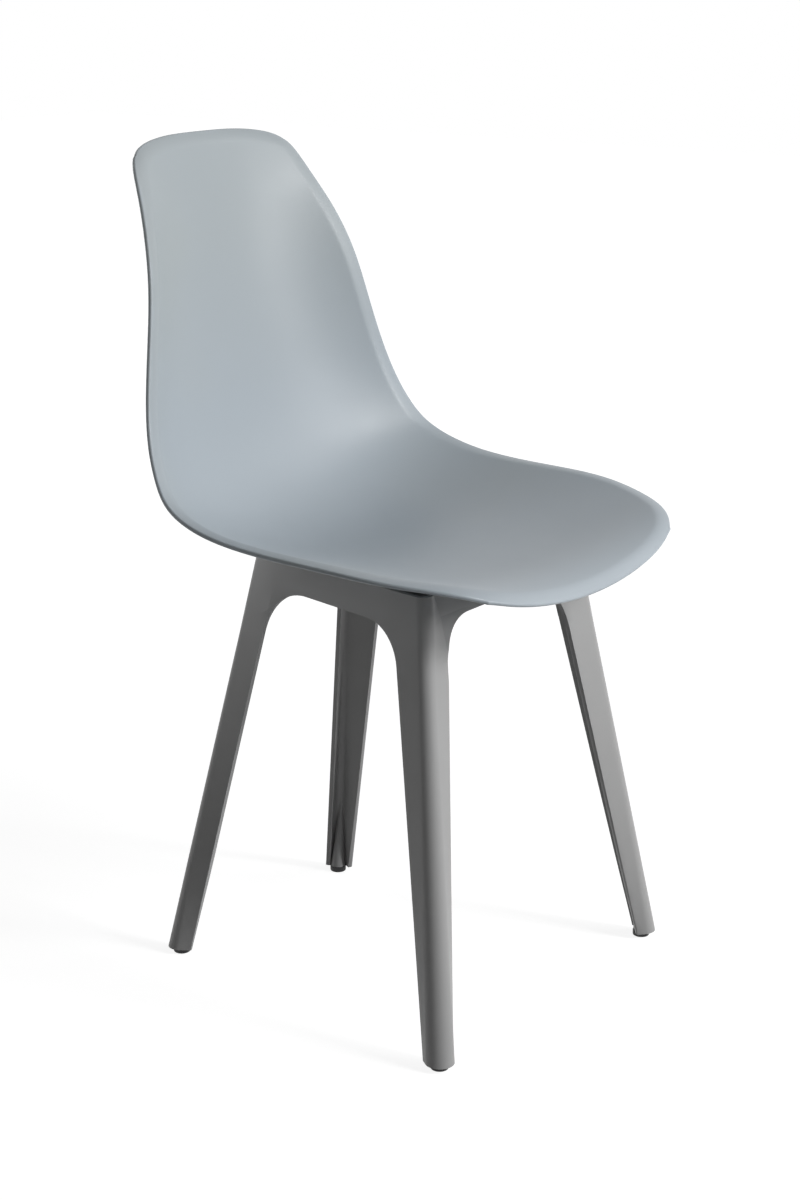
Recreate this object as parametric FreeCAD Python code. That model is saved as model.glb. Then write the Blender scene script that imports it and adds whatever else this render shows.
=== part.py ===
import FreeCAD, Part
import math
import os

os.makedirs("parts", exist_ok=True)
V = FreeCAD.Vector

# Moulded plastic shell chair, in millimetres.
# Z is up, the seat faces -Y and X = 0 is the plane of symmetry.
# Sizes are for the sitter's left half (+X) and are mirrored to the right.

# Seat shell: the curve down its middle, seen from the side as (y, height over the seat's front)
seat_height = 442
seat_profile = [(-231, -12.5), (-206, -1), (-150, 0), (0, -9), (85, -11),
                (150, 14), (184, 68), (204, 158), (222, 278), (238, 374)]
shell_wall = 4.5
edge_bevel = 1.3
# the outline in plan: how far it lies inside the greatest half width, by distance
# along the middle curve from the front lip
seat_half_width = 225.5
front_corner = [(9, 123.5), (36, 49.5), (100, 9)]
seat_side = [(217, 0), (333, 8.5)]
back_side = [(476, 30.5), (580, 58), (680, 87), (722, 101)]
# the rounded top corners, by distance down from the top edge
top_corner = [(19, 110.5), (5, 140.5)]
# how far round the rim the front edge and the top edge run before the sides begin
front_edge_turn = 56
top_edge_turn = 27
# how far the sides rise above the middle, reached a little outside the greatest half width
dish_overreach = 6.5
dish_power = 2.2
dish_depths = [(0, 38), (48, 33.5), (135, 40.5), (217, 48), (333, 71.5), (400, 82), (476, 82.5),
               (579, 107), (640, 126), (693, 117), (727, 92), (772, 54)]
lip_band = 22
lip_flare = 5.5

# The shell rests on the frame at the screw seats, this far under the seat's front
joint_drop = 22

# Leg frame: plan position of one leg's wall at the floor and at the knee,
# where the legs run into the apron
knee_drop = 75
frame_wall = 5
front_foot = (182.4, -180.2)
rear_foot = (131.2, 180.2)
# per leg: free edge of the end flange, free edge of the side flange,
# and the middle of the round corner between them
front_leg_floor = [(167.6, -185.6), (189.5, -166.4), (183.8, -181.6)]
front_leg_knee = [(103.3, -133.3), (139.2, -99.8), (135.2, -129.8)]
front_corner_radii = (14, 10)
rear_leg_floor = [(123.2, 191.8), (136.4, 165.0), (132.9, 182.6)]
rear_leg_knee = [(76.2, 135.4), (98.8, 93.6), (79.8, 124)]
rear_corner_radii = (12.5, 9.5)
# between its corners the front apron runs back under the seat from just over the knee
front_setback_start = 2
front_setback_rate = 0.003
apron_rise = 10
edge_trim = 0.8
arch_drop = 22.5
front_arch_radius = 52
rear_arch_radius = 38
side_arch_front_radius = 45
side_arch_rear_radius = 60

# Screw seats that carry the shell
screw_x = 68
front_screw_y = -40
rear_screw_y = 80
deck_wall = 4
deck_opening = (76, 76)
rib_depth = 12
rib_wall = 3.5
tower_diameter = 24
boss_diameter = 20
screw_diameter = 6
screw_length = 18
screw_head_diameter = 10.5
screw_head_height = 3.3
socket_size = 4
washer_diameter = 12.5
washer_thickness = 1.6
washer_clearance = 0.4
insert_diameter = 8.5
insert_length = 9
shelf_thickness = 8
counterbore_clearance = 1.5
screw_clearance = 0.5
thread_clearance = 0.1

# Feet
glide_diameter = 17.4
glide_height = 6
glide_chamfer = 0.8
stem_diameter = 6
stem_length = 12
stem_clearance = 0.1
post_diameter = 16
post_height = 80
post_tip_diameter = 3


joint_height = seat_height - joint_drop
knee_height = joint_height - knee_drop
apron_top = joint_height + apron_rise
arch_top = joint_height - arch_drop
washer_bore = screw_diameter + washer_clearance
counterbore_diameter = washer_diameter + counterbore_clearance
dish_reach = seat_half_width + dish_overreach


def between(low, high, share):
    return low + (high - low) * share


def closed_wire(points):
    return Part.makePolygon(points + [points[0]])


# Seat shell
# One moulded skin. Every point is placed by its distance along the middle
# curve and its distance sideways, then raised by the dish and turned out
# again along the rim.
spine = Part.BSplineCurve()
spine.interpolate([V(0, y, seat_height + rise) for y, rise in seat_profile])
spine_length = spine.length()

top_corner = [(spine_length - drop, inset) for drop, inset in top_corner]
rim_turns = front_corner + seat_side + back_side + top_corner
rim_turns = [V(along, seat_half_width - inset, 0) for along, inset in rim_turns]
outline = Part.BSplineCurve()
outline.interpolate(
    Points=[V(0, 0, 0)] + rim_turns + [V(spine_length, 0, 0)],
    InitialTangent=V(0, 1, 0),
    FinalTangent=V(0, -1, 0),
)
dish_curve = Part.BSplineCurve()
dish_curve.interpolate([V(along, depth, 0) for along, depth in dish_depths])

skin_rows = 28
side_columns = 8
corner_rows = 0.7
fine_rim = outline.discretize(Number=400)


def dish_depth(along):
    place = dish_curve.parameter(V(along, 0, 0))
    for _ in range(3):
        here = dish_curve.value(place)
        slope = dish_curve.tangent(place)[0]
        place = place + (along - here.x) / max(slope.x, 0.2)
        place = min(max(place, dish_curve.FirstParameter), dish_curve.LastParameter)
    return dish_curve.value(place).y


def spine_frame(along):
    place = spine.parameterAtDistance(along, spine.FirstParameter)
    direction = spine.tangent(place)[0]
    return spine.value(place), V(0, -direction.z, direction.y)


def skin_height(along, aside, rim_distance):
    dish = dish_depth(along) * (abs(aside) / dish_reach) ** dish_power
    turn = max(0.0, 1 - rim_distance / lip_band)
    return dish - lip_flare * turn ** 2


def rim_distance(along, aside):
    return min(math.hypot(along - mark.x, abs(aside) - mark.y) for mark in fine_rim)


def skin_point(along, aside):
    along = min(max(along, 0), spine_length)
    middle, normal = spine_frame(along)
    height = skin_height(along, aside, rim_distance(along, aside))
    return middle + V(aside, 0, 0) + normal * height


def skin_normal(along, aside):
    step = 0.5
    along = min(max(along, 0), spine_length)
    before = max(along - step, 0)
    after = min(along + step, spine_length)
    lengthwise = skin_point(after, aside) - skin_point(before, aside)
    sideways = skin_point(along, aside + step) - skin_point(along, aside - step)
    return sideways.cross(lengthwise).normalize()


def clamped_knots(count, degree):
    inner = count - degree - 1
    knots = [float(i) for i in range(inner + 2)]
    repeats = [degree + 1] + [1] * inner + [degree + 1]
    return knots, repeats


def smooth_surface(rows):
    across = min(3, len(rows[0]) - 1)
    row_knots, row_repeats = clamped_knots(len(rows), 3)
    column_knots, column_repeats = clamped_knots(len(rows[0]), across)
    surface = Part.BSplineSurface()
    surface.buildFromPolesMultsKnots(
        rows, row_repeats, column_repeats, row_knots, column_knots, False, False, 3, across
    )
    return surface.toShape()


def column_share(column):
    return math.sin(math.pi / 2 * column / side_columns)


def row_share(row):
    even = row / skin_rows
    return even - corner_rows * math.sin(2 * math.pi * even) / (2 * math.pi)


def rim_at(distance):
    return outline.value(outline.parameterAtDistance(distance, outline.FirstParameter))


# the rim in plan is a front edge, a side and a top edge that meet in the round corners
rim_length = outline.length()
front_edge_length = rim_turns[0].y + front_edge_turn
top_edge_length = rim_turns[-1].y + top_edge_turn


def front_edge(share):
    return rim_at(share * front_edge_length)


def side_edge(share):
    return rim_at(front_edge_length + share * (rim_length - front_edge_length - top_edge_length))


def top_edge(share):
    return rim_at(rim_length - share * top_edge_length)


def plan_point(row, column):
    """Place in plan, shared out between the four edges that bound half the skin."""
    share = row_share(row)
    out = column_share(column)
    front = front_edge(out)
    side = side_edge(share)
    top = top_edge(out)
    front_end = side_edge(0)
    top_end = side_edge(1)
    bend = out ** 2
    along = (1 - bend) * share * spine_length + bend * side.x
    along = along + (1 - share) * (front.x - bend * front_end.x)
    along = along + share * (top.x - (1 - bend) * spine_length - bend * top_end.x)
    aside = out * side.y
    aside = aside + (1 - share) * (front.y - out * front_end.y)
    aside = aside + share * (top.y - out * top_end.y)
    return along, aside


def mirror_row(row):
    return [V(-p.x, p.y, p.z) for p in reversed(row[1:])] + row


upper_rows = []
lower_rows = []
for row in range(skin_rows + 1):
    upper = []
    lower = []
    for column in range(side_columns + 1):
        along, aside = plan_point(row, column)
        point = skin_point(along, aside)
        normal = skin_normal(along, aside)
        if column == 0:
            normal = V(0, normal.y, normal.z).normalize()
        upper.append(point)
        lower.append(point - normal * shell_wall)
    upper_rows.append(mirror_row(upper))
    lower_rows.append(mirror_row(lower))


# the edge is broken by two narrow bevels; it follows the rim from the middle of
# the front round to the middle of the top
half_rim = [(0, column) for column in range(side_columns)]
half_rim = half_rim + [(row, side_columns) for row in range(skin_rows)]
half_rim = half_rim + [(skin_rows, side_columns - column) for column in range(side_columns + 1)]


def rim_pole(rows, place):
    row, column = place
    return rows[row][side_columns + column]


edge_poles = {}
for index, place in enumerate(half_rim):
    upper = rim_pole(upper_rows, place)
    lower = rim_pole(lower_rows, place)
    if index == 0:
        along_rim = V(1, 0, 0)
    elif index == len(half_rim) - 1:
        along_rim = V(-1, 0, 0)
    else:
        after = rim_pole(upper_rows, half_rim[index + 1])
        before = rim_pole(upper_rows, half_rim[index - 1])
        along_rim = after - before
    through = (upper - lower).normalize()
    outward = along_rim.cross(through).normalize()
    upper_bevel = upper + (outward - through) * edge_bevel
    lower_bevel = lower + (outward + through) * edge_bevel
    edge_poles[place] = [upper, upper_bevel, lower_bevel, lower]


def mirror_poles(poles):
    return [V(-p.x, p.y, p.z) for p in poles]


left_edge = [edge_poles[(row, side_columns)] for row in range(skin_rows + 1)]
right_edge = [mirror_poles(poles) for poles in left_edge]
edges = [left_edge, right_edge]
for row in (0, skin_rows):
    half = [edge_poles[(row, column)] for column in range(side_columns + 1)]
    edges.append([mirror_poles(poles) for poles in reversed(half[1:])] + half)
skin_faces = [smooth_surface(upper_rows), smooth_surface(lower_rows)]
for edge in edges:
    for band in range(3):
        skin_faces.append(smooth_surface([poles[band:band + 2] for poles in edge]))
skin = Part.Shell(skin_faces)
skin.sewShape()
seat_shell = Part.Solid(skin)


# Leg frame
# One moulding: four legs whose walls wrap round a post at the foot and open
# into an L towards the seat, joined by an apron with an arch on each side.
def wall_marks(height, floor, knee, radii, front):
    share = height / knee_height
    points = []
    for low, high in zip(floor, knee):
        points.append([between(low[0], high[0], share), between(low[1], high[1], share)])
    radius = between(radii[0], radii[1], min(share, 1))
    rise = max(0, height - knee_height - front_setback_start)
    if front:
        points[0][1] = points[0][1] + front_setback_rate * rise ** 2
    return points, radius


def wall_corner(height, floor, knee, radii, front, depth):
    """Points of a leg wall in plan, from the end flange round to the side flange."""
    (end, side, middle), radius = wall_marks(height, floor, knee, radii, front)
    turn = 1 if front else -1
    angles = []
    for edge, sense in ((end, 1), (side, -1)):
        dx = edge[0] - middle[0]
        dy = turn * (edge[1] - middle[1])
        reach = math.hypot(dx, dy)
        angles.append(math.atan2(dy, dx) + sense * math.acos(radius / reach))
    first, last = angles
    while last < first:
        last = last + 2 * math.pi

    def on_circle(angle, size):
        return V(middle[0] + size * math.cos(angle), middle[1] + turn * size * math.sin(angle), height)

    inner = radius - depth
    shift_end = V(math.cos(first), turn * math.sin(first), 0) * depth
    shift_side = V(math.cos(last), turn * math.sin(last), 0) * depth
    return [
        V(end[0], end[1], height) - shift_end,
        on_circle(first, inner),
        on_circle((first + last) / 2, inner),
        on_circle(last, inner),
        V(side[0], side[1], height) - shift_side,
    ]


def front_corner_at(height, depth):
    return wall_corner(height, front_leg_floor, front_leg_knee, front_corner_radii, True, depth)


def rear_corner_at(height, depth):
    return wall_corner(height, rear_leg_floor, rear_leg_knee, rear_corner_radii, False, depth)


def corner_edges(points):
    start, arc_start, arc_middle, arc_end, end = points
    return [
        Part.makeLine(start, arc_start),
        Part.Arc(arc_start, arc_middle, arc_end).toShape(),
        Part.makeLine(arc_end, end),
    ]


def leg_section(outer, inner):
    edges = corner_edges(outer)
    edges.append(Part.makeLine(outer[-1], inner[-1]))
    edges.extend(corner_edges(inner[::-1]))
    edges.append(Part.makeLine(inner[0], outer[0]))
    return Part.Wire(edges)


def mirrored(points):
    return [V(-p.x, p.y, p.z) for p in points]


def ring_section(height, depth):
    front = front_corner_at(height, depth)
    rear = rear_corner_at(height, depth)
    corners = [front, rear[::-1], mirrored(rear), mirrored(front[::-1])]
    edges = []
    for corner, following in zip(corners, corners[1:] + corners[:1]):
        edges.extend(corner_edges(corner))
        edges.append(Part.makeLine(corner[-1], following[0]))
    return Part.Wire(edges)


def mirror_pair(solid):
    return [solid, solid.mirror(V(0, 0, 0), V(1, 0, 0))]


leg_steps = 4
leg_heights = [between(glide_height, knee_height, i / leg_steps) for i in range(leg_steps + 1)]
walls = []
for corner_at in (front_corner_at, rear_corner_at):
    sections = [leg_section(corner_at(h, 0), corner_at(h, frame_wall)) for h in leg_heights]
    walls.extend(mirror_pair(Part.makeLoft(sections, True, True)))

ring_steps = 3
ring_heights = [between(knee_height, apron_top, i / ring_steps) for i in range(ring_steps + 1)]
ring_outside = Part.makeLoft([ring_section(h, 0) for h in ring_heights], True, True)
ring_inside = Part.makeLoft([ring_section(h, frame_wall) for h in ring_heights], True, True)
ring = ring_outside.cut(ring_inside)

# the deck inside the apron, its ribs and the four screw towers
reach = 400


def slab(width, depth, low, high, middle=(0, 0)):
    corner = V(middle[0] - width / 2, middle[1] - depth / 2, low)
    return Part.makeBox(width, depth, high - low, corner)


shelf_bottom = joint_height - shelf_thickness
deck_top = shelf_bottom
deck_bottom = deck_top - deck_wall
rib_bottom = deck_bottom - rib_depth
deck = slab(reach, reach, deck_bottom, deck_top)
deck_middle = (0, (front_screw_y + rear_screw_y) / 2)
opening = slab(deck_opening[0], deck_opening[1], rib_bottom, deck_top, deck_middle)
opening = opening.makeFillet(18, [e for e in opening.Edges if e.BoundBox.ZLength > deck_wall])
deck = deck.cut(opening)
ribs = []
for x in (-screw_x, screw_x):
    ribs.append(slab(rib_wall, reach, rib_bottom, deck_bottom, (x, 0)))
for y in (front_screw_y, rear_screw_y):
    ribs.append(slab(reach, rib_wall, rib_bottom, deck_bottom, (0, y)))
underbracing = deck.fuse(ribs).common(ring_inside)

screw_places = {}
for end, y in (("front", front_screw_y), ("rear", rear_screw_y)):
    for side, x in (("left", screw_x), ("right", -screw_x)):
        screw_places[end + "_" + side] = V(x, y, joint_height)


def cylinder(diameter, low, high, place):
    return Part.makeCylinder(diameter / 2, high - low, V(place.x, place.y, low))


towers = [cylinder(tower_diameter, rib_bottom, joint_height, p) for p in screw_places.values()]

# a tapering post in each foot, running up into the round corner of the leg
foot_places = {}
for end, spot in (("front", front_foot), ("rear", rear_foot)):
    foot_places[end + "_left"] = V(spot[0], spot[1], 0)
    foot_places[end + "_right"] = V(-spot[0], spot[1], 0)


def foot_post(spot, corner_at):
    foot = V(spot[0], spot[1], glide_height)
    top = glide_height + post_height
    lean = (corner_at(top, 0)[2] + corner_at(top, frame_wall)[3]) / 2 - foot
    taper = (post_diameter - post_tip_diameter) / 2 / lean.Length
    sunk = lean * (-post_diameter / 2 / lean.Length)
    base_radius = post_diameter / 2 + taper * sunk.Length
    length = lean.Length + sunk.Length
    cone = Part.makeCone(base_radius, post_tip_diameter / 2, length, foot + sunk, lean)
    return cone.cut(slab(reach, reach, -reach, glide_height, spot))


posts = mirror_pair(foot_post(front_foot, front_corner_at))
posts = posts + mirror_pair(foot_post(rear_foot, rear_corner_at))


# an arch is open to the floor, with the leaning edges of the legs as its sides
def arch_wire(floor_marks, slopes, radii, to_space):
    """Marks are across the opening; slopes are the inward run per unit of height."""
    corners = [mark + slope * arch_top for mark, slope in zip(floor_marks, slopes)]
    edges = []
    ends = []
    for mark, slope, corner, radius in zip(floor_marks, slopes, corners, radii):
        length = math.hypot(slope, 1)
        down = (-slope / length, -1 / length)
        level = 1 if corner < sum(corners) / 2 else -1
        half_angle = math.acos(down[0] * level) / 2
        tangent = radius / math.tan(half_angle)
        side_end = (corner + down[0] * tangent, arch_top + down[1] * tangent)
        top_end = (corner + level * tangent, arch_top)
        bisector = (down[0] + level, down[1])
        size = math.hypot(bisector[0], bisector[1])
        reach_out = radius / math.sin(half_angle) - radius
        middle = (corner + bisector[0] / size * reach_out, arch_top + bisector[1] / size * reach_out)
        foot = (mark, 0)
        edges.append(Part.makeLine(to_space(*foot), to_space(*side_end)))
        edges.append(Part.Arc(to_space(*side_end), to_space(*middle), to_space(*top_end)).toShape())
        ends.append(top_end)
    edges.append(Part.makeLine(to_space(*ends[0]), to_space(*ends[1])))
    edges.append(Part.makeLine(to_space(floor_marks[0], 0), to_space(floor_marks[1], 0)))
    return Part.Wire(Part.__sortEdges__(edges))


def edge_slope(floor, knee, axis):
    return (knee[axis] - floor[axis]) / knee_height


def side_space(y, z):
    return V(-reach / 2, y, z)


side_arch = arch_wire(
    (front_leg_floor[1][1] - edge_trim, rear_leg_floor[1][1] + edge_trim),
    (
        edge_slope(front_leg_floor[1], front_leg_knee[1], 1),
        edge_slope(rear_leg_floor[1], rear_leg_knee[1], 1),
    ),
    (side_arch_front_radius, side_arch_rear_radius),
    side_space,
)
arches = [Part.Face(side_arch).extrude(V(reach, 0, 0))]
for floor, knee, radius, depth in (
    (front_leg_floor[0], front_leg_knee[0], front_arch_radius, -reach / 2),
    (rear_leg_floor[0], rear_leg_knee[0], rear_arch_radius, reach / 2),
):
    half = floor[0] + edge_trim
    slope = edge_slope(floor, knee, 0)
    wire = arch_wire((-half, half), (-slope, slope), (radius, radius), lambda x, z: V(x, 0, z))
    arches.append(Part.Face(wire).extrude(V(0, depth, 0)))

leg_frame = ring.fuse(walls)
leg_frame = leg_frame.cut(arches)
leg_frame = leg_frame.fuse([underbracing] + towers + posts)
drillings = []
for place in screw_places.values():
    drillings.append(cylinder(screw_diameter + screw_clearance, rib_bottom, joint_height, place))
    drillings.append(cylinder(counterbore_diameter, rib_bottom, shelf_bottom, place))
stem_hole = stem_diameter + 2 * stem_clearance
for place in foot_places.values():
    drillings.append(cylinder(stem_hole, 0, glide_height + stem_length + 1, place))
leg_frame = leg_frame.cut(drillings)

# Bosses under the seat, drilled for the threaded inserts
bosses = []
for place in screw_places.values():
    probe = Part.makeLine(V(place.x, place.y, joint_height), V(place.x, place.y, joint_height + 50))
    wall_span = probe.common(seat_shell).BoundBox
    boss_top = (wall_span.ZMin + wall_span.ZMax) / 2
    bosses.append(cylinder(boss_diameter, joint_height, boss_top, place))
seat_shell = seat_shell.fuse(bosses)
insert_holes = [
    cylinder(insert_diameter, joint_height, joint_height + insert_length + 1, place)
    for place in screw_places.values()
]
seat_shell = seat_shell.cut(insert_holes)

pieces = {"seat_shell": seat_shell, "leg_frame": leg_frame}

# Threaded inserts, screws and washers at the four screw seats
for name, place in screw_places.items():
    insert = cylinder(insert_diameter, joint_height, joint_height + insert_length, place)
    bore = cylinder(screw_diameter, joint_height, joint_height + insert_length, place)
    pieces["insert_" + name] = insert.cut(bore)

    washer_bottom = shelf_bottom - washer_thickness
    washer = cylinder(washer_diameter, washer_bottom, shelf_bottom, place)
    pieces["washer_" + name] = washer.cut(cylinder(washer_bore, washer_bottom, shelf_bottom, place))

    head_bottom = washer_bottom - screw_head_height
    head = cylinder(screw_head_diameter, head_bottom, washer_bottom, place)
    shank_top = washer_bottom + screw_length
    shank = cylinder(screw_diameter - 2 * thread_clearance, washer_bottom, shank_top, place)
    hexagon = [
        V(place.x, place.y, head_bottom) + V(math.cos(a), math.sin(a), 0) * (socket_size / math.sqrt(3))
        for a in [math.radians(60 * i) for i in range(6)]
    ]
    socket = Part.Face(closed_wire(hexagon)).extrude(V(0, 0, socket_size / 2))
    pieces["seat_screw_" + name] = head.fuse(shank).cut(socket)

# Glides: a low foot on a stem pressed into the post
foot_radius = glide_diameter / 2
stem_radius = stem_diameter / 2
stem_top = glide_height + stem_length
glide_half = [
    V(0, 0, 0),
    V(foot_radius - glide_chamfer, 0, 0),
    V(foot_radius, 0, glide_chamfer),
    V(foot_radius, 0, glide_height),
    V(stem_radius, 0, glide_height),
    V(stem_radius, 0, stem_top),
    V(0, 0, stem_top),
]
glide = Part.Face(closed_wire(glide_half)).revolve(V(0, 0, 0), V(0, 0, 1), 360)
for name, place in foot_places.items():
    pieces["glide_" + name] = glide.translated(place)

# The chair stands with the middle of its outline over the origin
span = Part.makeCompound([pieces["seat_shell"], pieces["leg_frame"]]).optimalBoundingBox(True)
to_middle = V(0, -(span.YMin + span.YMax) / 2, 0)
for name, solid in pieces.items():
    solid.translated(to_middle).exportStep("parts/" + name + ".step")
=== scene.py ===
import math

import bmesh
import bpy
import numpy as np
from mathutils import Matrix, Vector


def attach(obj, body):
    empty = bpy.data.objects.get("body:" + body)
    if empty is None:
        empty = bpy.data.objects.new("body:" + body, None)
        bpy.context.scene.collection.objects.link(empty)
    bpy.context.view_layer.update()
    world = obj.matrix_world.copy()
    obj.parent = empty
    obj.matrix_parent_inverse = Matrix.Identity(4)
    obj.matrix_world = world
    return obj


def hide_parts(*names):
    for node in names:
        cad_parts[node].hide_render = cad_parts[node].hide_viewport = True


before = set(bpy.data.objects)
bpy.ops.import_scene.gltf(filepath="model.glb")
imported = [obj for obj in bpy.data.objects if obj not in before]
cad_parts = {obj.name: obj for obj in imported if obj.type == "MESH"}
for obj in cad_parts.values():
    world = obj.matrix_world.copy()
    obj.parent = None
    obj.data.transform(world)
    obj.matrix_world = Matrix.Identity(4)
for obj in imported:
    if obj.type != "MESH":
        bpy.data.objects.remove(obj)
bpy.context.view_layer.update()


# Camera
# A long lens a metre above the floor, looking a little down at the chair's right
# front corner.
camera_tilt = 16.28
camera_turn = 53.80
camera_data = bpy.data.cameras.new("camera")
camera_data.lens = 69
camera_data.sensor_width = 36
camera_data.clip_end = 50
camera = bpy.data.objects.new("camera", camera_data)
camera.location = (-1.7510, -1.2925, 1.0099)
camera.rotation_euler = (math.radians(90 - camera_tilt), 0, math.radians(-camera_turn))
bpy.context.scene.collection.objects.link(camera)
bpy.context.scene.camera = camera


# Studio
# A white floor that runs into a white backdrop. Two soft boxes in front of the
# chair carry most of the light; a wide one at its left and two behind it are weak.
lamp_aim = Vector((0, 0, 0.45))
fill_light = 0.03
white = (1, 1, 1, 1)


def link(name, data):
    """A new object in the scene, at the origin."""
    piece = bpy.data.objects.new(name, data)
    bpy.context.scene.collection.objects.link(piece)
    return piece


def soft_box(name, watts, size, place):
    """A soft lamp at a place, turned to the middle of the chair."""
    lamp_data = bpy.data.lights.new(name, "AREA")
    lamp_data.shape = "RECTANGLE"
    lamp_data.size = size[0]
    lamp_data.size_y = size[1]
    lamp_data.energy = watts
    lamp = link(name, lamp_data)
    lamp.location = place
    lamp.rotation_euler = (lamp_aim - Vector(place)).to_track_quat("-Z", "Y").to_euler()
    return lamp


soft_box("front_box", 46, (0.7, 0.7), (0.451, -2.559, 1.950))
soft_box("front_low_box", 22, (0.6, 0.6), (1.004, -2.757, 1.074))
soft_box("side_box", 18, (1.6, 1.6), (1.580, -1.882, 2.171))
soft_box("back_box", 20, (1.6, 1.6), (0, 2.934, 1.074))
soft_box("back_side_box", 4, (1.6, 1.6), (-2.248, 1.886, 1.074))


def add(tree, kind, inputs=None, **settings):
    """Adds a node: its settings, and its inputs as values or as the sockets that feed them."""
    made = tree.nodes.new(kind)
    for name, value in settings.items():
        setattr(made, name, value)
    for socket, value in (inputs or {}).items():
        if isinstance(value, bpy.types.NodeSocket):
            tree.links.new(value, made.inputs[socket])
        else:
            made.inputs[socket].default_value = value
    return made


def calc(tree, operation, *values):
    """One step of arithmetic on numbers and sockets."""
    return add(tree, "ShaderNodeMath", dict(enumerate(values)), operation=operation).outputs[0]


def seen_directly(tree):
    """1 for rays from the camera, in a mirror and through glass, else 0."""
    ray = add(tree, "ShaderNodeLightPath")
    seen = calc(tree, "MAXIMUM", ray.outputs["Is Camera Ray"], ray.outputs["Is Glossy Ray"])
    return calc(tree, "MAXIMUM", seen, ray.outputs["Is Transmission Ray"])


studio = bpy.data.worlds.new("studio")
bpy.context.scene.world = studio
studio.use_nodes = True
studio.node_tree.nodes.clear()
tree = studio.node_tree
fill = add(tree, "ShaderNodeBackground", {"Color": white, "Strength": fill_light})
backdrop = add(tree, "ShaderNodeBackground", {"Color": white, "Strength": 1.0})
pick = add(tree, "ShaderNodeMixShader", {
    0: seen_directly(tree), 1: fill.outputs[0], 2: backdrop.outputs[0]})
add(tree, "ShaderNodeOutputWorld", {"Surface": pick.outputs[0]})

floor_half = 8
floor_grey = (0.35, 0.35, 0.35, 1)
floor_mesh = bpy.data.meshes.new("floor")
floor_mesh.from_pydata(
    [(-floor_half, -floor_half, 0), (floor_half, -floor_half, 0),
     (floor_half, floor_half, 0), (-floor_half, floor_half, 0)], [], [(0, 1, 2, 3)])
floor = link("floor", floor_mesh)
floor_paint = bpy.data.materials.new("floor_paint")
floor_paint.use_nodes = True
tree = floor_paint.node_tree
tree.nodes.clear()
spot = add(tree, "ShaderNodeTexCoord")
from_chair = add(tree, "ShaderNodeVectorMath", {0: spot.outputs["Object"]}, operation="LENGTH")
glow_level = add(tree, "ShaderNodeMapRange", {
    "Value": from_chair.outputs["Value"], "From Min": 0.7, "From Max": 2.4,
    "To Min": 0.87, "To Max": 1.05})
glow = add(tree, "ShaderNodeEmission", {
    "Color": white, "Strength": calc(tree, "MULTIPLY", glow_level.outputs[0], seen_directly(tree))})
matt = add(tree, "ShaderNodeBsdfDiffuse", {"Color": floor_grey})
lifted = add(tree, "ShaderNodeAddShader", {0: matt.outputs[0], 1: glow.outputs[0]})
add(tree, "ShaderNodeOutputMaterial", {"Surface": lifted.outputs[0]})
floor_mesh.materials.append(floor_paint)

bpy.context.scene.view_settings.view_transform = "Standard"


# Leg frame
# One moulding in glass-filled polypropylene: four hollow legs, the apron with its
# arches, and the deck with its ribs. It leaves the mould with rounded edges and a fine grain.
def noise(tree, place, scale, detail, roughness=0.5):
    """Cloudy noise from 0 to 1; a scale of 100 gives clouds about a centimetre wide."""
    made = add(tree, "ShaderNodeTexNoise", {
        "Vector": place, "Scale": scale, "Detail": detail, "Roughness": roughness})
    return made.outputs["Fac"]


def remap(tree, value, low, high, to_low, to_high):
    """Turns the range from low to high into another and holds the ends."""
    made = add(tree, "ShaderNodeMapRange", {
        "Value": value, "From Min": low, "From Max": high, "To Min": to_low, "To Max": to_high})
    return made.outputs[0]


def blend_colours(tree, amount, first, second):
    """The first colour, turning into the second as the amount goes from 0 to 1."""
    made = add(tree, "ShaderNodeMix", {0: amount, 6: first, 7: second}, data_type="RGBA")
    return made.outputs[2]


def tinted(colour, share):
    """A colour made darker or lighter by a share."""
    return tuple(channel * share for channel in colour) + (1,)


def bump(tree, height, distance, strength, beneath=None):
    """Fine relief, on top of the relief beneath it if there is one."""
    inputs = {"Height": height, "Distance": distance, "Strength": strength}
    if beneath is not None:
        inputs["Normal"] = beneath
    return add(tree, "ShaderNodeBump", inputs).outputs[0]


def new_finish(name, specular, metallic=0.0):
    """An empty finish: its material, its node tree, its shader and the Object coordinates."""
    finish = bpy.data.materials.new(name)
    finish.use_nodes = True
    tree = finish.node_tree
    shader = tree.nodes["Principled BSDF"]
    shader.inputs["Specular IOR Level"].default_value = specular
    shader.inputs["Metallic"].default_value = metallic
    place = add(tree, "ShaderNodeTexCoord").outputs["Object"]
    return finish, tree, shader, place


def feed(tree, shader, colour, roughness, relief):
    """Gives a finish's shader its colour, roughness and relief."""
    for socket, value in (("Base Color", colour), ("Roughness", roughness), ("Normal", relief)):
        tree.links.new(value, shader.inputs[socket])


def moulded_colour(tree, place, colour, drift):
    """The pigment's broad drift of tone, with flecks where it is not fully mixed."""
    tone = blend_colours(tree, remap(tree, noise(tree, place, 4.5, 3), 0.3, 0.7, 0, 1),
                         tinted(colour, 1 - drift), tinted(colour, 1 + drift))
    fleck = remap(tree, noise(tree, place, 650, 2), 0.62, 0.8, 0, 0.10)
    return blend_colours(tree, fleck, tone, tinted(colour, 0.72))


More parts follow.
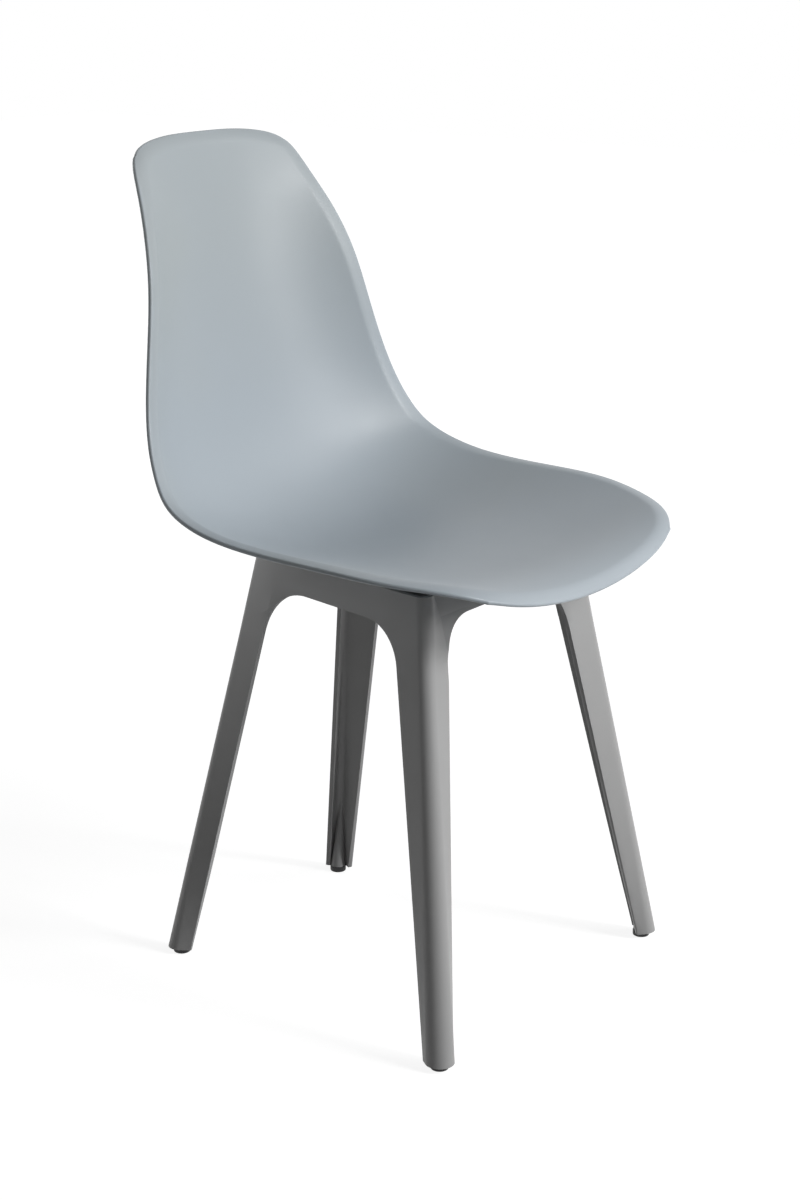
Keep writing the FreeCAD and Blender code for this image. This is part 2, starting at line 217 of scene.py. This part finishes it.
edge_break = 0.0007
crease = math.radians(35)
flat_enough = math.radians(0.6)
same_point = 1e-5
frame_grey = (0.388, 0.388, 0.388)
frame_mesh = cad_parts["leg_frame"].data.copy()
frame_mesh.name = "leg_moulding"
tidy = bmesh.new()
tidy.from_mesh(frame_mesh)
bmesh.ops.remove_doubles(tidy, verts=tidy.verts, dist=same_point)
bmesh.ops.dissolve_limit(tidy, angle_limit=flat_enough, verts=tidy.verts, edges=tidy.edges)
tidy.to_mesh(frame_mesh)
tidy.free()
frame_mesh.materials.clear()
leg_moulding = link("leg_moulding", frame_mesh)
broken = leg_moulding.modifiers.new("broken_edges", "BEVEL")
broken.width = edge_break
broken.segments = 2
broken.limit_method = "ANGLE"
broken.angle_limit = crease
frame_mesh.shade_smooth()
frame_mesh.set_sharp_from_angle(angle=crease)

frame_plastic, tree, shader, place = new_finish("frame_plastic", 0.30)
colour = moulded_colour(tree, place, frame_grey, 0.02)
height = add(tree, "ShaderNodeSeparateXYZ", {0: place}).outputs["Z"]
kicked = calc(tree, "MULTIPLY", remap(tree, height, 0.16, 0.0, 0, 1),
              remap(tree, noise(tree, place, 60, 6, 0.7), 0.56, 0.72, 0, 0.35))
colour = blend_colours(tree, kicked, colour, tinted(frame_grey, 1.28))
rubbed = remap(tree, noise(tree, place, 22, 4), 0.3, 0.7, 0.42, 0.52)
rubbed = calc(tree, "ADD", rubbed, calc(tree, "MULTIPLY", kicked, 0.3))
grain = bump(tree, noise(tree, place, 1300, 2), 0.00012, 0.30)
drawn = add(tree, "ShaderNodeMapping", {"Vector": place, "Scale": (1, 1, 0.12)}).outputs[0]
feed(tree, shader, colour, rubbed, bump(tree, noise(tree, drawn, 160, 3), 0.00008, 0.15, grain))
frame_mesh.materials.append(frame_plastic)
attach(leg_moulding, "root")
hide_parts("leg_frame")


# Glides
# Four black nylon feet, turned in shape, each on a stem pressed up into its leg's
# post. The floor scuffs them grey round the bottom edge.
MM = 0.001
round_sides = 48


def tree_with_inputs(name, sockets):
    """An empty node tree with named inputs, and its inputs' identifiers for the modifier."""
    tree = bpy.data.node_groups.new(name, "GeometryNodeTree")
    names = {}
    for label, kind in sockets:
        socket = tree.interface.new_socket(label, in_out="INPUT", socket_type="NodeSocket" + kind)
        names[label] = socket.identifier
    tree.interface.new_socket("Made", in_out="OUTPUT", socket_type="NodeSocketGeometry")
    return tree, names, add(tree, "NodeGroupInput").outputs


turning, turning_inputs, given = tree_with_inputs("four_turned_parts", (
    ("Half section", "Geometry"), ("Sides", "Int"), ("Front place", "Vector"),
    ("Rear place", "Vector"), ("Finish", "Material")))
# a sheet with a row for each corner of the half section and a column for each side
corners = add(turning, "GeometryNodeAttributeDomainSize", {
    0: given["Half section"]}).outputs["Point Count"]
around = calc(turning, "ADD", given["Sides"], 1)
sheet = add(turning, "GeometryNodeMeshGrid", {"Vertices X": corners, "Vertices Y": around})
number = add(turning, "GeometryNodeInputIndex").outputs[0]
corner = calc(turning, "FLOOR", calc(turning, "DIVIDE", calc(turning, "ADD", number, 0.5), around))
turn = calc(turning, "SUBTRACT", number, calc(turning, "MULTIPLY", corner, around))
angle = calc(turning, "MULTIPLY", calc(turning, "DIVIDE", turn, given["Sides"]), 2 * math.pi)
# each point takes its corner's radius and height, drawn in to a hexagon where that is six-sided
here = add(turning, "GeometryNodeInputPosition").outputs[0]
section_point = add(turning, "GeometryNodeSampleIndex", {
    "Geometry": given["Half section"], "Value": here, "Index": corner}, data_type="FLOAT_VECTOR")
six_sided = add(turning, "GeometryNodeInputNamedAttribute", {"Name": "six_sided"}, data_type="FLOAT")
flat_sides = add(turning, "GeometryNodeSampleIndex", {
    "Geometry": given["Half section"], "Value": six_sided.outputs[0], "Index": corner},
    data_type="FLOAT")
to_flat = calc(turning, "SUBTRACT", calc(turning, "MODULO", angle, math.pi / 3), math.pi / 6)
drawn_in = calc(turning, "DIVIDE", math.cos(math.pi / 6), calc(turning, "COSINE", to_flat))
drawn_in = calc(turning, "SUBTRACT", drawn_in, 1)
drawn_in = calc(turning, "MULTIPLY_ADD", drawn_in, flat_sides.outputs[0], 1)
section_axes = add(turning, "ShaderNodeSeparateXYZ", {0: section_point.outputs[0]}).outputs
radius = calc(turning, "MULTIPLY", section_axes["X"], drawn_in)
turned_point = add(turning, "ShaderNodeCombineXYZ", {
    "X": calc(turning, "MULTIPLY", radius, calc(turning, "COSINE", angle)),
    "Y": calc(turning, "MULTIPLY", radius, calc(turning, "SINE", angle)),
    "Z": section_axes["Z"]})
part = add(turning, "GeometryNodeSetPosition", {
    "Geometry": sheet.outputs[0], "Position": turned_point.outputs[0]})
part = add(turning, "GeometryNodeMergeByDistance", {"Geometry": part.outputs[0], "Distance": 1e-6})
# four places: front left, front right, rear left and rear right
rear = calc(turning, "GREATER_THAN", number, 1.5)
side = calc(turning, "MULTIPLY_ADD", calc(turning, "MODULO", number, 2), -2, 1)
spot = add(turning, "ShaderNodeMix", {
    0: rear, 4: given["Front place"], 5: given["Rear place"]}, data_type="VECTOR")
mirrored = add(turning, "ShaderNodeCombineXYZ", {"X": side, "Y": 1, "Z": 1})
spot = add(turning, "ShaderNodeVectorMath", {
    0: spot.outputs[1], 1: mirrored.outputs[0]}, operation="MULTIPLY")
spots = add(turning, "GeometryNodePoints", {"Count": 4, "Position": spot.outputs[0]})
parts = add(turning, "GeometryNodeInstanceOnPoints", {
    "Points": spots.outputs[0], "Instance": part.outputs[0]})
parts = add(turning, "GeometryNodeRealizeInstances", {0: parts.outputs[0]})
parts = add(turning, "GeometryNodeSetMaterial", {
    "Geometry": parts.outputs[0], "Material": given["Finish"]})
add(turning, "NodeGroupOutput", {0: parts.outputs[0]})


def made_by(piece, tree, names, values):
    """Runs a node tree on a piece and leaves the result as the piece's own plain mesh."""
    making = piece.modifiers.new("making", "NODES")
    making.node_group = tree
    for label, value in values.items():
        making[names[label]] = value
    making.show_viewport = True
    bpy.context.view_layer.update()
    evaluated = piece.evaluated_get(bpy.context.evaluated_depsgraph_get())
    made = bpy.data.meshes.new_from_object(evaluated)
    piece.modifiers.remove(making)
    made.name = piece.name
    piece.data = made
    tidy = bmesh.new()
    tidy.from_mesh(made)
    bmesh.ops.recalc_face_normals(tidy, faces=tidy.faces)
    tidy.to_mesh(made)
    tidy.free()
    finish = next(material for material in made.materials if material)
    made.materials.clear()
    made.materials.append(finish)
    for face in made.polygons:
        face.material_index = 0
    made.shade_smooth()
    return piece


def four_turned(name, half_section, sides, front, rear, finish, flats=()):
    """Four like parts from one half section of (radius, height) corners in mm.

    The corners whose numbers are in flats are six-sided.
    """
    section = bpy.data.meshes.new(name)
    section.from_pydata([(r * MM, 0, h * MM) for r, h in half_section],
                        [(i, i + 1) for i in range(len(half_section) - 1)], [])
    six = section.attributes.new("six_sided", "FLOAT", "POINT")
    six.data.foreach_set("value", [float(i in flats) for i in range(len(half_section))])
    piece = made_by(link(name, section), turning, turning_inputs, {
        "Sides": sides, "Front place": [c * MM for c in front],
        "Rear place": [c * MM for c in rear], "Finish": finish})
    piece.data.set_sharp_from_angle(angle=crease)
    return piece


def nodes_named(start):
    """The names of the CAD nodes that begin so."""
    return [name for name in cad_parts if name.startswith(start)]


frame_shift = -9.505
front_foot = (182.4, -180.2 + frame_shift, 0)
rear_foot = (131.2, 180.2 + frame_shift, 0)
glide_black = (0.010, 0.010, 0.011)
scuff_grey = (0.07, 0.068, 0.065, 1)
glide_plastic, tree, shader, place = new_finish("glide_plastic", 0.40)
height = add(tree, "ShaderNodeSeparateXYZ", {0: place}).outputs["Z"]
scuffed = calc(tree, "MULTIPLY", remap(tree, height, 0.0022, 0.0, 0, 1),
               remap(tree, noise(tree, place, 420, 5, 0.7), 0.40, 0.66, 0, 0.8))
colour = blend_colours(tree, scuffed, moulded_colour(tree, place, glide_black, 0.12), scuff_grey)
rubbed = remap(tree, noise(tree, place, 90, 3), 0.3, 0.7, 0.36, 0.48)
rubbed = calc(tree, "ADD", rubbed, calc(tree, "MULTIPLY", scuffed, 0.3))
feed(tree, shader, colour, rubbed, bump(tree, noise(tree, place, 1500, 3), 0.0001, 0.35))
glides = four_turned(
    "glides",
    [(0, 0), (7.4, 0), (7.9, 0.12), (8.35, 0.45), (8.6, 0.95), (8.7, 1.6), (8.7, 5.5), (8.55, 5.85),
     (8.2, 6), (3.3, 6), (3.05, 6.3), (3, 6.8), (3, 9), (2.8, 9.3), (3, 9.6), (3, 12), (2.8, 12.3),
     (3, 12.6), (3, 16.6), (1.9, 18), (0, 18)],
    round_sides, front_foot, rear_foot, glide_plastic)
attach(glides, "root")
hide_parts(*nodes_named("glide_"))


# Seat shell
# Seat and back are one skin of polypropylene, 4.5 mm thick, injected between two
# polished moulds. Its edge turns outwards a little and is fully rounded.

# the middle line from the seat's front edge to the top of the back, as (depth, height)
seat_profile = [(-231, 429.5), (-206, 441), (-150, 442), (0, 433), (85, 431),
                (150, 456), (184, 510), (204, 600), (222, 720), (238.4, 818)]
# the outline, as (distance along the middle line, half width), and its last points from the top down
rim_turns = [(0, 0), (9, 102), (37, 175), (100, 215.5), (217, 225), (333, 216),
             (476, 193.5), (580, 165.5), (680, 138.5), (722, 125)]
top_corner = [(19, 114), (5, 84), (0, 0)]
front_edge_length = 158
top_edge_length = 112
# how far the edge stands above the middle line, by the distance along it
dish_depths = [(0, 38), (48, 33.5), (135, 40.5), (217, 48), (333, 71.5), (400, 80.5), (476, 81),
               (579, 106), (640, 126), (693, 117), (727, 90), (774, 44)]
# the dish has its full depth at this half width, and starts gently from the middle line
dish_reach = 232
dish_power = 2.2
# the lip: how wide the band is that turns out, how suddenly it turns and how far
lip_band = 14
lip_power = 1.6
lip_flare = 5
shell_wall = 4.5
# the rounded edge: its bulge against a half round, and its points from top to bottom
edge_fullness = 0.8
edge_steps = 7
# points nearer than this are one where edge and sheets meet
seam_gap = 0.04
# the net before subdivision; its rows crowd towards the front and the top
skin_rows = 28
side_columns = 8
row_crowding = 0.7
line_steps = 6000


def smooth_line(points, start=None, end=None):
    """A spline through points, spaced by the chords between them, as many close points.

    start and end are its directions there, where they are given.
    """
    points = np.array(points, float)
    chords = np.linalg.norm(np.diff(points, axis=0), axis=1)
    marks = np.concatenate([[0], np.cumsum(chords)])

    def end_pull(near, at):
        """The slope of the curve through the four points nearest an end."""
        pull = np.zeros(points.shape[1])
        for i in near:
            slope = 0
            for j in near:
                if j == i:
                    continue
                rest = [k for k in near if k not in (i, j)]
                others = np.prod([(at - marks[k]) / (marks[i] - marks[k]) for k in rest])
                slope += others / (marks[i] - marks[j])
            pull = pull + slope * points[i]
        return pull

    count = len(points)
    first = end_pull(range(4), marks[0])
    last = end_pull(range(count - 4, count), marks[-1])
    if start is not None:
        first = np.array(start, float) * np.linalg.norm(first)
    if end is not None:
        last = np.array(end, float) * np.linalg.norm(last)
    system = np.eye(count)
    known = np.zeros_like(points)
    known[0] = first
    known[-1] = last
    for i in range(1, count - 1):
        before, after = chords[i - 1], chords[i]
        system[i, i - 1:i + 2] = after, 2 * (before + after), before
        known[i] = 3 * (
            after / before * (points[i] - points[i - 1])
            + before / after * (points[i + 1] - points[i]))
    pulls = np.linalg.solve(system, known)
    places = np.linspace(0, marks[-1], line_steps)
    span = np.clip(np.searchsorted(marks, places, side="right") - 1, 0, count - 2)
    length = chords[span][:, None]
    t = ((places - marks[span])[:, None]) / length
    return (
        (2 * t**3 - 3 * t**2 + 1) * points[span]
        + (t**3 - 2 * t**2 + t) * length * pulls[span]
        + (3 * t**2 - 2 * t**3) * points[span + 1]
        + (t**3 - t**2) * length * pulls[span + 1]
    )


def travelled(line):
    """The distance along a line at each of its points."""
    return np.concatenate([[0], np.cumsum(np.linalg.norm(np.diff(line, axis=0), axis=1))])


def guide(name, points):
    """A line of edges that the shell's node tree reads."""
    line = bpy.data.meshes.new(name)
    line.from_pydata([(x * MM, y * MM, z * MM) for x, y, z in points],
                     [(i, i + 1) for i in range(len(points) - 1)], [])
    return link(name, line)


spine = smooth_line(seat_profile)
spine_length = travelled(spine)[-1]
outline = smooth_line(rim_turns + [(spine_length - drop, half) for drop, half in top_corner],
                      start=(0, 1), end=(0, -1))
outline_travel = travelled(outline)
rim_length = outline_travel[-1]
middle_points = np.vstack([spine[::6], spine[-1:]])
middle_line = guide("middle_line", [(0, y + frame_shift, z) for y, z in middle_points])
dish_line = smooth_line(dish_depths)


def rim_at(distance):
    """The outline's point at a distance along it, from the middle of the front edge."""
    return np.array([np.interp(distance, outline_travel, outline[:, k]) for k in (0, 1)])


# the plan net fills the outline: x is the place sideways and y the place along the middle line
side_edge_length = rim_length - front_edge_length - top_edge_length
front_end = rim_at(front_edge_length)
top_end = rim_at(rim_length - top_edge_length)
half_net = []
for row in range(skin_rows + 1):
    even = row / skin_rows
    share = even - row_crowding * math.sin(2 * math.pi * even) / (2 * math.pi)
    side_mark = rim_at(front_edge_length + share * side_edge_length)
    net_row = []
    for column in range(side_columns + 1):
        across = math.sin(math.pi / 2 * column / side_columns)
        bend = across**2
        front_mark = rim_at(across * front_edge_length)
        top_mark = rim_at(rim_length - across * top_edge_length)
        along = (1 - bend) * share * spine_length + bend * side_mark[0]
        along += (1 - share) * (front_mark[0] - bend * front_end[0])
        along += share * (top_mark[0] - (1 - bend) * spine_length - bend * top_end[0])
        aside = across * side_mark[1] + (1 - share) * (front_mark[1] - across * front_end[1])
        aside += share * (top_mark[1] - across * top_end[1])
        net_row.append((aside, along))
    half_net.append(net_row)
net = [[(-x, y) for x, y in row[:0:-1]] + row for row in half_net]
net_points = [(x * MM, y * MM, 0) for row in net for x, y in row]
columns = 2 * side_columns + 1
plan_net = bpy.data.meshes.new("shell")
plan_net.from_pydata(net_points, [], [
    (a, a + 1, a + columns + 1, a + columns)
    for r in range(skin_rows) for a in range(r * columns, r * columns + columns - 1)])
depth = plan_net.attributes.new("dish_depth", "FLOAT", "POINT")
depth.data.foreach_set("value", [
    np.interp(y, dish_line[:, 0], dish_line[:, 1]) * MM for row in net for x, y in row])

skinning, skinning_inputs, given = tree_with_inputs("shell_skin", (
    ("Plan net", "Geometry"), ("Middle line", "Object"), ("Dish reach", "Float"),
    ("Dish power", "Float"), ("Lip band", "Float"), ("Lip power", "Float"), ("Lip flare", "Float"),
    ("Wall", "Float"), ("Edge fullness", "Float"), ("Edge steps", "Int"), ("Seam gap", "Float"),
    ("Subdivisions", "Int"), ("Finish", "Material")))
# the net is bent along the middle line and dished
here = add(skinning, "GeometryNodeInputPosition").outputs[0]
here = add(skinning, "ShaderNodeSeparateXYZ", {0: here}).outputs
middle = add(skinning, "GeometryNodeObjectInfo", {"Object": given["Middle line"]}).outputs["Geometry"]
middle = add(skinning, "GeometryNodeMeshToCurve", {0: middle}).outputs[0]
on_line = add(skinning, "GeometryNodeSampleCurve", {
    "Curves": middle, "Length": here["Y"]}, mode="LENGTH")
way = add(skinning, "ShaderNodeSeparateXYZ", {0: on_line.outputs["Tangent"]}).outputs
upwards = add(skinning, "ShaderNodeCombineXYZ", {
    "Y": calc(skinning, "MULTIPLY", way["Z"], -1), "Z": way["Y"]})
upwards = add(skinning, "ShaderNodeVectorMath", {
    0: upwards.outputs[0]}, operation="NORMALIZE").outputs[0]
out_from_middle = calc(skinning, "ABSOLUTE", here["X"])
dish = calc(skinning, "DIVIDE", out_from_middle, given["Dish reach"])
dish = calc(skinning, "POWER", dish, given["Dish power"])
depth = add(skinning, "GeometryNodeInputNamedAttribute", {
    "Name": "dish_depth"}, data_type="FLOAT").outputs[0]
rise = calc(skinning, "MULTIPLY", dish, depth)
raised = add(skinning, "ShaderNodeVectorMath", {0: upwards, "Scale": rise}, operation="SCALE").outputs[0]
sideways = add(skinning, "ShaderNodeCombineXYZ", {"X": here["X"]}).outputs[0]
skin_point = add(skinning, "ShaderNodeVectorMath", {
    0: on_line.outputs["Position"], 1: raised}).outputs[0]
skin_point = add(skinning, "ShaderNodeVectorMath", {0: skin_point, 1: sideways}).outputs[0]
skin = add(skinning, "GeometryNodeSetPosition", {"Geometry": given["Plan net"], "Position": skin_point})
skin = add(skinning, "GeometryNodeSubdivisionSurface", {
    "Mesh": skin.outputs[0], "Level": given["Subdivisions"]}, boundary_smooth="ALL").outputs[0]
# the lip turns out along a narrow band at the edge
on_edge = add(skinning, "FunctionNodeCompare", {
    2: add(skinning, "GeometryNodeInputMeshEdgeNeighbors").outputs[0], 3: 1},
    data_type="INT", operation="EQUAL").outputs[0]
edge = add(skinning, "GeometryNodeMeshToCurve", {"Mesh": skin, "Selection": on_edge})
edge = add(skinning, "GeometryNodeCurveToMesh", {0: edge.outputs[0]})
to_rim = add(skinning, "GeometryNodeProximity", {
    0: edge.outputs[0]}, target_element="EDGES").outputs["Distance"]
skin = add(skinning, "GeometryNodeStoreNamedAttribute", {
    "Geometry": skin, "Name": "rim_distance", "Value": to_rim},
    data_type="FLOAT", domain="POINT").outputs[0]
turn_out = calc(skinning, "SUBTRACT", 1, calc(skinning, "DIVIDE", to_rim, given["Lip band"]))
turn_out = calc(skinning, "POWER", calc(skinning, "MAXIMUM", turn_out, 0), given["Lip power"])
turned_out = calc(skinning, "MULTIPLY", calc(skinning, "MULTIPLY", turn_out, given["Lip flare"]), -1)
normal = add(skinning, "GeometryNodeInputNormal").outputs[0]
turned_out = add(skinning, "ShaderNodeVectorMath", {
    0: normal, "Scale": turned_out}, operation="SCALE").outputs[0]
skin = add(skinning, "GeometryNodeSetPosition", {"Geometry": skin, "Offset": turned_out})
skin = add(skinning, "GeometryNodeStoreNamedAttribute", {
    "Geometry": skin.outputs[0], "Name": "up", "Value": normal},
    data_type="FLOAT_VECTOR", domain="POINT")
upper = skin.outputs[0]
# the lower side lies one wall further down, and a half round closes the edge between them
up = add(skinning, "GeometryNodeInputNamedAttribute", {
    "Name": "up"}, data_type="FLOAT_VECTOR").outputs[0]
down = add(skinning, "ShaderNodeVectorMath", {
    0: up, "Scale": calc(skinning, "MULTIPLY", given["Wall"], -1)}, operation="SCALE").outputs[0]
half_down = add(skinning, "ShaderNodeVectorMath", {
    0: down, "Scale": 0.5}, operation="SCALE").outputs[0]
lower = add(skinning, "GeometryNodeSetPosition", {"Geometry": upper, "Offset": down})
lower = add(skinning, "GeometryNodeFlipFaces", {0: lower.outputs[0]})
edge = add(skinning, "GeometryNodeMeshToCurve", {"Mesh": upper, "Selection": on_edge})
edge = add(skinning, "GeometryNodeSetPosition", {"Geometry": edge.outputs[0], "Offset": half_down})
edge = add(skinning, "GeometryNodeSetCurveNormal", {"Curve": edge.outputs[0], "Normal": up}, mode="FREE")
half_round = add(skinning, "GeometryNodeCurveArc", {
    "Resolution": given["Edge steps"], "Radius": calc(skinning, "MULTIPLY", given["Wall"], 0.5),
    "Start Angle": 0, "Sweep Angle": -math.pi}, mode="RADIUS")
fullness = add(skinning, "ShaderNodeCombineXYZ", {"X": 1, "Y": given["Edge fullness"], "Z": 1})
half_round = add(skinning, "GeometryNodeTransform", {
    "Geometry": half_round.outputs[0], "Scale": fullness.outputs[0]})
edge = add(skinning, "GeometryNodeCurveToMesh", {0: edge.outputs[0], 1: half_round.outputs[0]})
body = add(skinning, "GeometryNodeJoinGeometry")
for part in (edge, lower):
    skinning.links.new(part.outputs[0], body.inputs[0])
skinning.links.new(upper, body.inputs[0])
body = add(skinning, "GeometryNodeMergeByDistance", {
    "Geometry": body.outputs[0], "Distance": given["Seam gap"]})
body = add(skinning, "GeometryNodeRealizeInstances", {0: body.outputs[0]})
body = add(skinning, "GeometryNodeSetMaterial", {
    "Geometry": body.outputs[0], "Material": given["Finish"]})
add(skinning, "NodeGroupOutput", {0: body.outputs[0]})

shell_blue = (0.40, 0.448, 0.488)
shell_grey = (0.405, 0.446, 0.462)
shell_plastic, tree, shader, place = new_finish("shell_plastic", 0.40)
edge_near = add(tree, "ShaderNodeAttribute", attribute_name="rim_distance").outputs["Fac"]
worn = calc(tree, "MULTIPLY", remap(tree, edge_near, 0.004, 0.0, 0, 1),
            remap(tree, noise(tree, place, 35, 5, 0.65), 0.42, 0.66, 0, 0.5))
height = add(tree, "ShaderNodeSeparateXYZ", {0: place}).outputs["Z"]
# the shell's colour turns greyer towards the top of the back, and greyer in broad cloudy patches all
# over
greyer_up_high = calc(tree, "ADD", remap(tree, height, 0.55, 0.72, 0, 0.7),
               remap(tree, noise(tree, place, 3, 2), 0.45, 0.6, 0, 0.5))
colour = moulded_colour(tree, place, shell_blue, 0.015)
colour = blend_colours(tree, greyer_up_high, colour, tinted(shell_grey, 1))
colour = blend_colours(tree, worn, colour, tinted(shell_blue, 1.12))
rubbed = remap(tree, noise(tree, place, 9, 5, 0.6), 0.3, 0.7, 0.37, 0.45)
rubbed = calc(tree, "SUBTRACT", rubbed, calc(tree, "MULTIPLY", worn, 0.08))
grain = bump(tree, noise(tree, place, 1600, 2), 0.0001, 0.16)
feed(tree, shader, colour, rubbed, bump(tree, noise(tree, place, 120, 2), 0.00005, 0.12, grain))

shell = made_by(link("shell", plan_net), skinning, skinning_inputs, {
    "Middle line": middle_line, "Dish reach": dish_reach * MM, "Dish power": dish_power,
    "Lip band": lip_band * MM, "Lip power": lip_power, "Lip flare": lip_flare * MM,
    "Wall": shell_wall * MM, "Edge fullness": edge_fullness, "Edge steps": edge_steps,
    "Seam gap": seam_gap * MM, "Subdivisions": 3, "Finish": shell_plastic})
bpy.data.objects.remove(middle_line)
# the bosses end inside the wall, and each holds an insert in its hollow end
front_screw = (68, -40 + frame_shift, 0)
rear_screw = (68, 80 + frame_shift, 0)
bosses = four_turned(
    "bosses",
    [(0, 430), (4.25, 430), (4.25, 420.3), (4.5, 420), (9.6, 420), (9.9, 420.25), (10, 420.6),
     (10, 433.7), (0, 433.7)],
    round_sides, front_screw, rear_screw, shell_plastic)
tidy = bmesh.new()
tidy.from_mesh(shell.data)
tidy.from_mesh(bosses.data)
tidy.to_mesh(shell.data)
tidy.free()
bpy.data.objects.remove(bosses)
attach(shell, "root")
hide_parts("seat_shell")


# Threaded inserts
# Brass bushes moulded into the bosses, flush with their ends. Turning leaves fine
# rings on the brass, and handling dulls it in patches.
brass_bright = (0.60, 0.43, 0.17, 1)
brass_dull = (0.46, 0.31, 0.12, 1)
insert_brass, tree, shader, place = new_finish("insert_brass", 0.5, 1.0)
dulled = remap(tree, noise(tree, place, 180, 4), 0.35, 0.65, 0, 1)
colour = blend_colours(tree, dulled, brass_bright, brass_dull)
rubbed = remap(tree, noise(tree, place, 260, 3), 0.3, 0.7, 0.26, 0.42)
rings = add(tree, "ShaderNodeTexWave", {"Vector": place, "Scale": 900, "Distortion": 0.6},
            wave_type="BANDS", bands_direction="Z")
feed(tree, shader, colour, rubbed, bump(tree, rings.outputs["Fac"], 0.00003, 0.3))
for name in nodes_named("insert_"):
    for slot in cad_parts[name].material_slots:
        slot.material = insert_brass


# Seat screws
# Zinc-plated socket-head screws, driven up through the deck into the inserts. The
# low head has a rounded rim, and the plating clouds to a pale grey.
zinc_pale = (0.50, 0.50, 0.51, 1)
zinc_clouded = (0.37, 0.38, 0.40, 1)
fastener_steel, tree, shader, place = new_finish("fastener_steel", 0.5, 1.0)
clouded = remap(tree, noise(tree, place, 240, 5, 0.6), 0.35, 0.65, 0, 1)
colour = blend_colours(tree, clouded, zinc_pale, zinc_clouded)
rubbed = remap(tree, noise(tree, place, 330, 4), 0.3, 0.7, 0.25, 0.44)
feed(tree, shader, colour, rubbed, bump(tree, noise(tree, place, 2600, 2), 0.00005, 0.3))
socket = 4 / math.sqrt(3)
head_bottom = 407.1
head_top = 410.4
thread_half, root_half = 2.9, 2.45
thread_start = 412.6
thread_rings = 15
thread = [(thread_half, head_top)]
for ring in range(thread_rings):
    thread += [(thread_half, thread_start + ring), (root_half, 413.1 + ring)]
screws = four_turned(
    "seat_screws",
    [(0, head_bottom + 2), (socket, head_bottom + 2), (socket, head_bottom + 0.2),
     (socket + 0.25, head_bottom), (4.55, head_bottom), (4.95, head_bottom + 0.12),
     (5.18, head_bottom + 0.4), (5.25, head_bottom + 0.8), (5.25, 410.15), (5.1, head_top)]
    + thread + [(2.1, 428.4), (0, 428.4)],
    round_sides, front_screw, rear_screw, fastener_steel, flats=(1, 2))
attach(screws, "root")
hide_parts(*nodes_named("seat_screw_"))


# Washers
# Flat zinc-plated washers between the screw heads and the deck. They are punched,
# so one edge is rounded and the other is crisp.
washer_hole = 3.2
washer_top = 412
washers = four_turned(
    "washers",
    [(washer_hole, head_top), (6.0, head_top), (6.18, 410.5), (6.25, 410.75), (6.25, washer_top),
     (washer_hole, washer_top), (washer_hole, head_top)],
    round_sides, front_screw, rear_screw, fastener_steel)
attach(washers, "root")
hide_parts(*nodes_named("washer_"))
